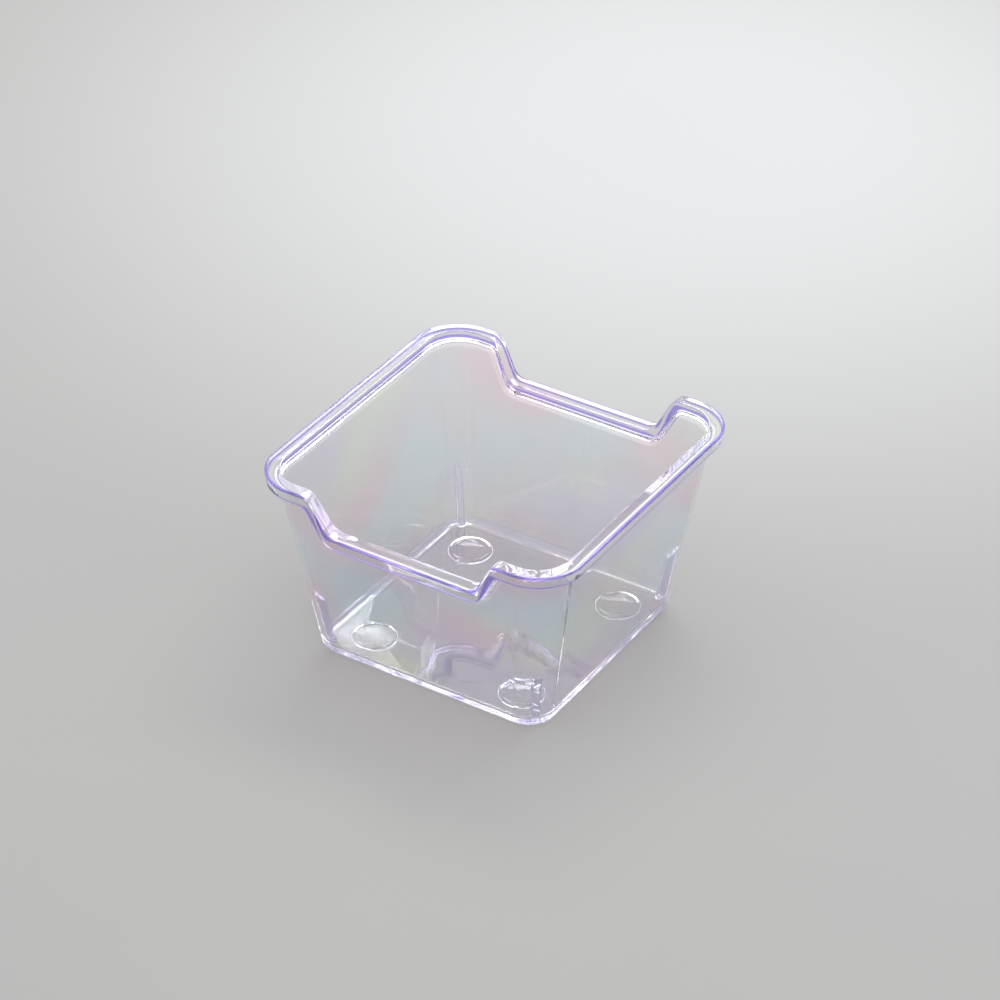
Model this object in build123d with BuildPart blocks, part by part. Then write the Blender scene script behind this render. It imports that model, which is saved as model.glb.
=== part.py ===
from build123d import *
import os
from math import atan2, cos, sin, sqrt

# Clear moulded drawer box: drafted walls, a turned-out rim with a short lip, and a dip front and back.
# Millimetres, +Z up. The origin is the middle of the footprint, on the surface that the feet stand on.
# The front is the -Y side. The dips are in the front and in the back.

# --- body ---------------------------------------------------------------------------------------
body_height = 61.0          # from the surface under the feet to the top of the rim
base_side = 75.4            # outside of the walls at the floor, both ways in plan
base_corner_radius = 8.2
rim_side = 100.0            # outside of the rim at its top, both ways in plan
rim_corner_radius = 14.4
wall_thickness = 1.6
floor_thickness = 1.8
floor_outer_radius = 2.0    # outside, where the walls turn into the floor
floor_inner_radius = 2.4    # inside, where the walls turn into the floor

# --- rim ----------------------------------------------------------------------------------------
rim_overhang = 2.8          # how far the rim stands out from the walls, at its top
rim_depth = 3.8             # from the top of the rim to its lower edge, where the rim is level
rim_slope_depth = 2.6       # the same on the dips' sloping sides, square to the slope
rim_draft = 5.8             # degrees, of the rim's outer side
rim_outer_round = 0.6
rim_inner_round = 0.4
rim_cove_radius = 2.0       # hollow under the rim, where it meets the walls

# --- dips in the rim, front and back ------------------------------------------------------------
dip_depth = 11.7
dip_floor_width = 47.2
dip_slope_run = 6.1         # plan length of each sloping side
dip_shoulder_radius = 3.2   # where the level rim turns down into the slope
dip_foot_radius = 4.6       # where the slope turns into the dip's floor

# --- fins in the four inside corners ------------------------------------------------------------
fin_height = 16.3           # top of the fin's free edge, from the surface under the feet
fin_rise = 3.0              # how much higher the fin is where it meets the corner
fin_depth = 2.8             # how far the fin stands into the box
fin_thickness = 1.8

# --- feet ---------------------------------------------------------------------------------------
foot_height = 0.7
foot_diameter = 13.2
foot_spacing = 49.0         # between the feet's centres, both ways in plan
foot_edge_round = 0.4
foot_recess_diameter = 11.6
foot_recess_depth = 0.6     # hollow over each foot, in the floor

# --- derived heights and sizes ------------------------------------------------------------------
floor_top = foot_height + floor_thickness
wall_top_side = rim_side - 2 * rim_overhang
wall_top_radius = rim_corner_radius - rim_overhang


def drafted(low_value, high_value, z):
    """Value at a height, for a size that changes evenly from the floor to the top of the rim."""
    return low_value + (high_value - low_value) * (z - foot_height) / (body_height - foot_height)


def wall_sections(growth, z_low, z_high):
    """Two rounded squares for a loft: the walls' outside, grown by a distance, between two heights."""
    sections = []
    for z in (z_low, z_high):
        side = drafted(base_side, wall_top_side, z) + 2 * growth
        radius = drafted(base_corner_radius, wall_top_radius, z) + growth
        with BuildSketch(Plane.XY.offset(z)) as section:
            RectangleRounded(side, side, radius)
        sections.append(section.sketch)
    return sections


def inner_corner(z):
    """Distance from the box's middle to the inside of a corner at a height, along the diagonal."""
    side = drafted(base_side, wall_top_side, z) - 2 * wall_thickness
    radius = drafted(base_corner_radius, wall_top_radius, z) - wall_thickness
    return side / 2 * sqrt(2) - radius * (sqrt(2) - 1)


# --- side view of the rim -----------------------------------------------------------------------
slope_angle = atan2(dip_depth, dip_slope_run)
rim_slope_shift = (rim_slope_depth - rim_depth * cos(slope_angle)) / sin(slope_angle)


def rim_line(drop, shift):
    """Line across the box that dips in the middle: the rim's top, moved down and out from the dip."""
    level = body_height - drop
    foot = dip_floor_width / 2 + shift
    shoulder = foot + dip_slope_run
    with BuildLine() as line:
        FilletPolyline(
            (-rim_side, level),
            (-shoulder, level),
            (-foot, level - dip_depth),
            (foot, level - dip_depth),
            (shoulder, level),
            (rim_side, level),
            radius=[dip_shoulder_radius, dip_foot_radius, dip_foot_radius, dip_shoulder_radius],
        )
    return line.line


def block_under(line):
    """Everything under a line of the side view, through the box from front to back."""
    with BuildPart() as block:
        with BuildSketch(Plane.XZ):
            with BuildLine():
                add(line)
                left, right = line.vertices().sort_by(Axis.X)[0], line.vertices().sort_by(Axis.X)[-1]
                Polyline(right, (rim_side, 0), (-rim_side, 0), left)
            make_face()
        extrude(amount=rim_side, both=True)
    return block.part


under_rim_top = block_under(rim_line(0, 0))
under_rim = block_under(rim_line(rim_depth, rim_slope_shift))

# --- space inside the walls ---------------------------------------------------------------------
with BuildPart() as cavity:
    loft(wall_sections(-wall_thickness, floor_top, body_height + rim_depth))
    fillet(cavity.edges().group_by(Axis.Z)[0], floor_inner_radius)

# --- rim, as a slab that follows the dips -------------------------------------------------------
with BuildPart() as rim:
    with BuildSketch(Plane.XY.offset(body_height)):
        RectangleRounded(rim_side, rim_side, rim_corner_radius)
    extrude(amount=-body_height, taper=rim_draft)
    add(under_rim_top, mode=Mode.INTERSECT)
    add(under_rim, mode=Mode.SUBTRACT)
    fillet(rim.edges().filter_by(Edge.is_interior, reverse=True), rim_outer_round)

# --- one foot and one fin -----------------------------------------------------------------------
with BuildPart() as foot:
    with BuildSketch():
        Circle(foot_diameter / 2)
    extrude(amount=foot_height + floor_thickness / 2)
    fillet(foot.edges().sort_by(Axis.Z)[0], foot_edge_round)

fin_root = wall_thickness / 2
fin_top = fin_height + fin_rise
with BuildPart() as fin:
    with BuildSketch(Plane((0, 0, 0), x_dir=(1, 1, 0), z_dir=(1, -1, 0))):
        with BuildLine():
            Polyline(
                (inner_corner(foot_height) - fin_depth, foot_height + floor_thickness / 2),
                (inner_corner(fin_height) - fin_depth, fin_height),
                (inner_corner(fin_top), fin_top),
                (inner_corner(fin_top) + fin_root, fin_top),
                (inner_corner(foot_height) + fin_root, foot_height + floor_thickness / 2),
                close=True,
            )
        make_face()
    extrude(amount=fin_thickness / 2, both=True)

# --- the box ------------------------------------------------------------------------------------
with BuildPart() as drawer_box:
    loft(wall_sections(0, foot_height, body_height))
    fillet(drawer_box.edges().group_by(Axis.Z)[0], floor_outer_radius)
    add(under_rim_top, mode=Mode.INTERSECT)
    add(rim.part)
    fillet(drawer_box.edges(Select.NEW), rim_cove_radius)
    add(cavity.part, mode=Mode.SUBTRACT)
    fillet(drawer_box.edges(Select.NEW), rim_inner_round)
    with PolarLocations(0, 4):
        add(fin.part)
    with BuildSketch(Plane.XY.offset(floor_top)):
        with GridLocations(foot_spacing, foot_spacing, 2, 2):
            Circle(foot_recess_diameter / 2)
    extrude(amount=-foot_recess_depth, mode=Mode.SUBTRACT)
    with GridLocations(foot_spacing, foot_spacing, 2, 2):
        add(foot.part)

drawer_box.part.label = "drawer_box"

os.makedirs("parts", exist_ok=True)
export_step(drawer_box.part, "parts/drawer_box.step")
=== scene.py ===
from math import cos, radians, sin, sqrt, tan

import bpy
from mathutils import Matrix, Vector


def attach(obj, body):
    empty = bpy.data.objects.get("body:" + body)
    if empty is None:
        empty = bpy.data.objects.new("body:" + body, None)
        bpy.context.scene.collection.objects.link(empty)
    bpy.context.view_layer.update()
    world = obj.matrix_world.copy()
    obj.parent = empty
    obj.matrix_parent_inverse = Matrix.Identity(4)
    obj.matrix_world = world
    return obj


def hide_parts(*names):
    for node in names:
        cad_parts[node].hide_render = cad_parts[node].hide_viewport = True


# Looks of a clear moulded drawer box, on a pale grey table under soft light.
# Metres, +Z up. The front of the box is -Y.

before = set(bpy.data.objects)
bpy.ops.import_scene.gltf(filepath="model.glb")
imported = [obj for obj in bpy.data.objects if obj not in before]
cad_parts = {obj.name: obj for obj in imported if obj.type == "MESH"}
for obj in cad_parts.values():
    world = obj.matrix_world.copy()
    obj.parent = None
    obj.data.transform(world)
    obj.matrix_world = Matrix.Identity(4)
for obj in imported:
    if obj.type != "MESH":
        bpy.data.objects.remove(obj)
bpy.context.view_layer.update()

# --- the plastic --------------------------------------------------------------------------------
PLASTIC_IOR = 1.59
PLASTIC_TINT = (0.52, 0.42, 0.97, 1.0)      # what thick plastic turns light into
PLASTIC_TINT_DENSITY = 0.9                  # per metre
PLASTIC_SHADOW = (0.83, 0.81, 0.825, 1.0)   # what one skin of it lets through to the table
WALL_COLOURS = (                            # faint colours of the strain in the moulded walls
    (0.90, 0.97, 1.0, 1.0), (1.0, 0.87, 0.92, 1.0), (0.96, 1.0, 0.92, 1.0), (0.93, 0.92, 1.0, 1.0),
)
STRAIN_STRETCH = (1.0, 1.0, 1.6)            # the patches of strain lie flatter than they are wide
STRAIN_SCALES = (17.0, 24.0, 31.0)
PAINTED_EDGE_FRINGE = (0.22, 0.15, 1.0, 1.0)        # painted violet fringe of bent and reflected light at the rim's outer edge
PAINTED_SLOPE_FRINGE = (0.16, 0.10, 0.90, 1.0)      # painted violet fringe of bent and reflected light where the rim's edge slopes
PAINTED_LINE_FRINGE = (0.81, 0.78, 0.98, 1.0)       # painted pale violet fringe of bent light along the fins and the turn from walls to floor
PLASTIC_ROUGHNESS = 0.006
ROUGHNESS_SPREAD = 0.025                    # how much duller the plastic is in places
WAVE_STRENGTH = 0.03                        # of the faint waves in its skin
WAVE_HEIGHT = 0.0002
MERGE_DISTANCE = 0.000002
SMOOTH_ANGLE = radians(32.0)

# --- sizes of the box that the painted fringes follow: metres, as the part's source has them --------
RIM_SIDE = 0.100
RIM_CORNER_RADIUS = 0.0144
BODY_HEIGHT = 0.061
RIM_DRAFT = radians(5.8)
RIM_DEPTH = 0.0038
DIP_DEPTH = 0.0117
DIP_FLOOR_WIDTH = 0.0472
DIP_SLOPE_RUN = 0.0061
FIN_HALF_WIDTH = 0.0009
FLOOR_TOP = 0.0025

# --- how far the painted fringes of light reach -----------------------------------------------------
EDGE_WIDTH = 0.0008                         # in from the rim's outside
UPPER_FRINGE_LINE = (0.0005, 0.0008)               # down from the rim's top: where the painted line fades out
LOWER_FRINGE_LINE = (RIM_DEPTH - 0.0009, RIM_DEPTH - 0.0006)   # where the painted line on its lower edge fades in
FRINGE_LINE_SHARE = 0.93                           # how much of the rim's painted fringe is in those lines
SLOPE_SHARE = (0.3, 0.8)                    # how much of a slope, from its ends, takes the slope's painted fringe
FIN_TINT_TOP = 0.0195                       # just over the fins
FIN_TINT_INNER = 0.0308                     # just inside the fins, out from the middle both ways
FLOOR_TURN = 0.0015                         # height of the turn from floor to wall
WALLS_FROM_CORE = (0.0060, 0.0068)          # where the walls start, out from the core of the corners
FADE = 0.0005                               # over which a painted fringe ends

# --- the camera: where it stands, seen from the middle of the box ---------------------------------
CAMERA_TARGET = Vector((0.0, 0.0, 0.030))
CAMERA_AZIMUTH = radians(32.4)
CAMERA_ELEVATION = radians(35.01)
CAMERA_ROLL = radians(0.16)
CAMERA_DISTANCE = 1.10412
CAMERA_LENS = 141.94
CAMERA_SHIFT = (0.0037, 0.0370)


class Socket:
    """A shader socket that takes part in sums, and makes the nodes for them."""

    def __init__(self, tree, link):
        self.tree = tree
        self.link = link

    def node(self, kind, settings=None, output=0, **values):
        """Adds a node: settings first, then values or links by input name or by input number, as in_2."""
        made = self.tree.nodes.new(kind)
        for name, value in (settings or {}).items():
            setattr(made, name, value)
        for name, value in values.items():
            key = int(name[3:]) if name.startswith("in_") else name.replace("_", " ")
            if isinstance(value, Socket):
                self.tree.links.new(value.link, made.inputs[key])
            else:
                made.inputs[key].default_value = value
        return Socket(self.tree, made.outputs[output])

    def math(self, operation, first, second=0.0):
        return self.node("ShaderNodeMath", {"operation": operation}, in_0=first, in_1=second)

    def __add__(self, other):
        return self.math("ADD", self, other)

    def __radd__(self, other):
        return self.math("ADD", other, self)

    def __sub__(self, other):
        return self.math("SUBTRACT", self, other)

    def __rsub__(self, other):
        return self.math("SUBTRACT", other, self)

    def __mul__(self, other):
        return self.math("MULTIPLY", self, other)

    def __rmul__(self, other):
        return self.math("MULTIPLY", other, self)

    def largest(self, other):
        return self.math("MAXIMUM", self, other)

    def smallest(self, other):
        return self.math("MINIMUM", self, other)

    def root(self):
        return self.math("SQRT", self)

    def size(self):
        return self.math("ABSOLUTE", self)

    def smooth(self, low, high):
        """0 below low, 1 above high and an even curve between them."""
        return self.node(
            "ShaderNodeMapRange", {"interpolation_type": "SMOOTHSTEP"},
            Value=self, From_Min=low, From_Max=high,
        )

    def noise(self, scale, detail=3.0):
        return self.node("ShaderNodeTexNoise", Vector=self, Scale=scale, Detail=detail, Roughness=0.5)

    def mix(self, first, second):
        """Colour between first and second, by this socket."""
        return self.node(
            "ShaderNodeMix", {"data_type": "RGBA"}, output=2, in_0=self, in_6=first, in_7=second
        )


def material(name):
    """A new material, its shader, its output and its Object coordinates."""
    made = bpy.data.materials.new(name)
    made.use_nodes = True
    tree = made.node_tree
    shader = tree.nodes["Principled BSDF"]
    out = tree.nodes["Material Output"]
    place = Socket(tree, None).node("ShaderNodeTexCoord", output="Object")
    return made, shader, out, place


def feed(source, fed, name):
    source.tree.links.new(source.link, fed.inputs[name])


def painted_fringe_places(place):
    """Masks of the fringes of bent and reflected light painted at the rim's outer edge, at that edge
    where the rim slopes, and along fins and floor turn.
    """
    axes = [place.node("ShaderNodeSeparateXYZ", Vector=place, output=axis) for axis in ("X", "Y", "Z")]
    across, along, height = axes
    core = RIM_SIDE / 2 - RIM_CORNER_RADIUS - (BODY_HEIGHT - height) * tan(RIM_DRAFT)
    past_x = across.size() - core
    past_y = along.size() - core
    out_x = past_x.largest(0.0)
    out_y = past_y.largest(0.0)
    beyond = (out_x * out_x + out_y * out_y).root() + past_x.largest(past_y).smallest(0.0)
    inwards = RIM_CORNER_RADIUS - beyond
    outside = 1.0 - inwards.smooth(EDGE_WIDTH * 0.8, EDGE_WIDTH)
    out_of_dip = across.size().smooth(DIP_FLOOR_WIDTH / 2, DIP_FLOOR_WIDTH / 2 + DIP_SLOPE_RUN)
    below_top = BODY_HEIGHT - DIP_DEPTH * (1.0 - out_of_dip) - height
    upper_fringe_line = 1.0 - below_top.smooth(*UPPER_FRINGE_LINE)
    lower_fringe_line = below_top.smooth(*LOWER_FRINGE_LINE)
    edge_fringe = outside * (upper_fringe_line.largest(lower_fringe_line) * FRINGE_LINE_SHARE + (1.0 - FRINGE_LINE_SHARE))
    slope_fringe = edge_fringe * (4.0 * out_of_dip * (1.0 - out_of_dip)).smooth(*SLOPE_SHARE)
    aside = (across.size() - along.size()).size() * sqrt(0.5)
    # painted fringe of bent light along the fins' edges, below their tops and away from the middle
    fin_fringe = aside.smooth(FIN_HALF_WIDTH * 0.5, FIN_HALF_WIDTH * 0.7)
    fin_fringe = fin_fringe * (1.0 - aside.smooth(FIN_HALF_WIDTH, FIN_HALF_WIDTH * 1.3))
    fin_fringe = fin_fringe * (1.0 - height.smooth(FIN_TINT_TOP, FIN_TINT_TOP + FADE))
    fin_fringe = fin_fringe * across.size().smooth(FIN_TINT_INNER, FIN_TINT_INNER + 2 * FADE)
    # painted fringe of bent light along the turn from floor to wall
    floor_turn_fringe = 1.0 - height.smooth(FLOOR_TOP, FLOOR_TOP + FLOOR_TURN)
    return edge_fringe, slope_fringe, fin_fringe.largest(floor_turn_fringe * beyond.smooth(*WALLS_FROM_CORE))


def clear_plastic():
    made, shader, out, place = material("clear_plastic")
    shader.inputs["Transmission Weight"].default_value = 1.0
    shader.inputs["IOR"].default_value = PLASTIC_IOR
    rough = PLASTIC_ROUGHNESS + ROUGHNESS_SPREAD * place.noise(40.0).smooth(0.45, 0.75)
    feed(rough, shader, "Roughness")
    wide = place.node("ShaderNodeVectorMath", {"operation": "MULTIPLY"}, in_0=place, in_1=STRAIN_STRETCH)
    wide_patches, warm_patches, green_patches = [wide.noise(scale, detail=0.5) for scale in STRAIN_SCALES]
    cool, warm, green, blue = WALL_COLOURS
    cool_warm = warm_patches.smooth(0.36, 0.64).mix(cool, warm)
    green_blue = green_patches.smooth(0.36, 0.64).mix(green, blue)
    tint = wide_patches.smooth(0.38, 0.62).mix(cool_warm, green_blue)
    # Violet fringes of bent and reflected light are painted into the base colour at the rim's edge and
    # its slopes.
    edge_fringe, slope_fringe, line_fringe = painted_fringe_places(place)
    # pale violet fringe of bent light painted along the fins and the floor turn
    tint = line_fringe.mix(tint, PAINTED_LINE_FRINGE)
    tint = edge_fringe.mix(tint, PAINTED_EDGE_FRINGE)
    tint = slope_fringe.mix(tint, PAINTED_SLOPE_FRINGE)
    feed(tint, shader, "Base Color")
    waves = place.noise(23.0, detail=1.0)
    bump = place.node("ShaderNodeBump", Strength=WAVE_STRENGTH, Distance=WAVE_HEIGHT, Height=waves)
    feed(bump, shader, "Normal")
    absorb = place.node("ShaderNodeVolumeAbsorption", Color=PLASTIC_TINT, Density=PLASTIC_TINT_DENSITY)
    feed(absorb, out, "Volume")
    shadow_ray = place.node("ShaderNodeLightPath", output="Is Shadow Ray")
    diffuse_ray = place.node("ShaderNodeLightPath", output="Is Diffuse Ray")
    lets_light_by = place.node("ShaderNodeBsdfTransparent", Color=PLASTIC_SHADOW)
    mixed = place.node(
        "ShaderNodeMixShader", in_0=shadow_ray.largest(diffuse_ray),
        in_1=Socket(made.node_tree, shader.outputs["BSDF"]), in_2=lets_light_by,
    )
    feed(mixed, out, "Surface")
    return made


# A pool of light is painted on the table: it is palest near a spot behind the box.
PAINTED_LIGHT_SPOT = (-0.10, 0.27, 0.0)            # centre of the pool of light painted on the table, behind the box
PAINTED_LIGHT_REACH = (0.04, 0.30)
PAINTED_LIGHT_COLOUR = (0.36, 0.362, 0.366, 1.0)
TABLE_COLOURS = ((0.250, 0.252, 0.250, 1.0), (0.260, 0.259, 0.255, 1.0))


def table_top():
    made, shader, out, place = material("table_top")
    shader.inputs["Specular IOR Level"].default_value = 0.2
    from_painted_light = place.node(
        "ShaderNodeVectorMath", {"operation": "DISTANCE"}, output="Value", in_0=place, in_1=PAINTED_LIGHT_SPOT
    )
    table_tone = place.noise(3.0).smooth(0.3, 0.7).mix(*TABLE_COLOURS)
    # painted pool of light: paler near the spot behind the box, the table's own tone further off
    feed(from_painted_light.smooth(*PAINTED_LIGHT_REACH).mix(PAINTED_LIGHT_COLOUR, table_tone), shader, "Base Color")
    feed(0.75 + 0.1 * place.noise(30.0), shader, "Roughness")
    return made


# --- the box ------------------------------------------------------------------------------------
def merged_copy(node, name):
    """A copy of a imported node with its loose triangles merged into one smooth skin."""
    bpy.ops.object.select_all(action="DESELECT")
    node.select_set(True)
    bpy.context.view_layer.objects.active = node
    bpy.ops.object.duplicate()
    copy = bpy.context.object
    copy.name = name
    bpy.ops.object.mode_set(mode="EDIT")
    bpy.ops.mesh.select_all(action="SELECT")
    bpy.ops.mesh.remove_doubles(threshold=MERGE_DISTANCE)
    bpy.ops.mesh.normals_make_consistent(inside=False)
    bpy.ops.object.mode_set(mode="OBJECT")
    bpy.ops.mesh.customdata_custom_splitnormals_clear()
    bpy.ops.object.shade_smooth_by_angle(angle=SMOOTH_ANGLE)
    return copy


plastic = clear_plastic()
box = merged_copy(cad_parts["drawer_box"], "moulded_box")
box.data.materials.clear()
box.data.materials.append(plastic)
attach(box, "root")
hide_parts("drawer_box")

# --- the table and the light ----------------------------------------------------------------------
TABLE_GAP = 0.00015         # the feet touch the table at a few points only
bpy.ops.mesh.primitive_plane_add(size=6.0, location=(0.0, 0.0, -TABLE_GAP))
table = bpy.context.object
table.name = "table"
table.data.materials.append(table_top())


SOFTBOX_PLACE = Vector((-0.05, 0.58, 0.95))  # behind the box and above it, turned to its foot
SOFTBOX_SIZE = (0.9, 0.40)
SOFTBOX_POWER = 10.5
bpy.ops.object.light_add(type="AREA", location=SOFTBOX_PLACE)
softbox = bpy.context.object
softbox.name = "back_softbox"
softbox.data.shape = "RECTANGLE"
softbox.data.size, softbox.data.size_y = SOFTBOX_SIZE
softbox.data.energy = SOFTBOX_POWER
softbox.rotation_euler = (-SOFTBOX_PLACE).to_track_quat("-Z", "Y").to_euler()

SKY_LOW = (0.62, 0.63, 0.64, 1.0)           # the room at the horizon
SKY_HIGH = (1.0, 1.0, 1.0, 1.0)             # the room from SKY_TURN upwards
SKY_TURN = 0.75                             # sine of the angle
SKY_STRENGTH = 1.5
world = bpy.data.worlds.new("room")
bpy.context.scene.world = world
world.use_nodes = True
look = Socket(world.node_tree, None).node("ShaderNodeTexCoord", output="Generated")
height = look.node("ShaderNodeSeparateXYZ", Vector=look, output="Z")
sky = height.smooth(0.0, SKY_TURN).mix(SKY_LOW, SKY_HIGH)
backdrop = world.node_tree.nodes["Background"]
world.node_tree.links.new(sky.link, backdrop.inputs["Color"])
backdrop.inputs["Strength"].default_value = SKY_STRENGTH

# --- the camera -----------------------------------------------------------------------------------
back = Vector((
    sin(CAMERA_AZIMUTH) * cos(CAMERA_ELEVATION),
    -cos(CAMERA_AZIMUTH) * cos(CAMERA_ELEVATION),
    sin(CAMERA_ELEVATION),
))
right = Vector((cos(CAMERA_AZIMUTH), sin(CAMERA_AZIMUTH), 0.0))
up = back.cross(right)
turned_right = right * cos(CAMERA_ROLL) + up * sin(CAMERA_ROLL)
turned_up = up * cos(CAMERA_ROLL) - right * sin(CAMERA_ROLL)
bpy.ops.object.camera_add(location=CAMERA_TARGET + back * CAMERA_DISTANCE)
camera = bpy.context.object
camera.name = "camera"
camera.data.lens = CAMERA_LENS
camera.data.shift_x, camera.data.shift_y = CAMERA_SHIFT
camera.rotation_euler = Matrix((turned_right, turned_up, back)).transposed().to_euler()
bpy.context.scene.camera = camera
bpy.context.scene.view_settings.view_transform = "Standard"

# Light turns many times inside the rim before it leaves.
paths = bpy.context.scene.cycles
paths.max_bounces = 96
paths.glossy_bounces = 64
paths.transmission_bounces = 96
paths.transparent_max_bounces = 24
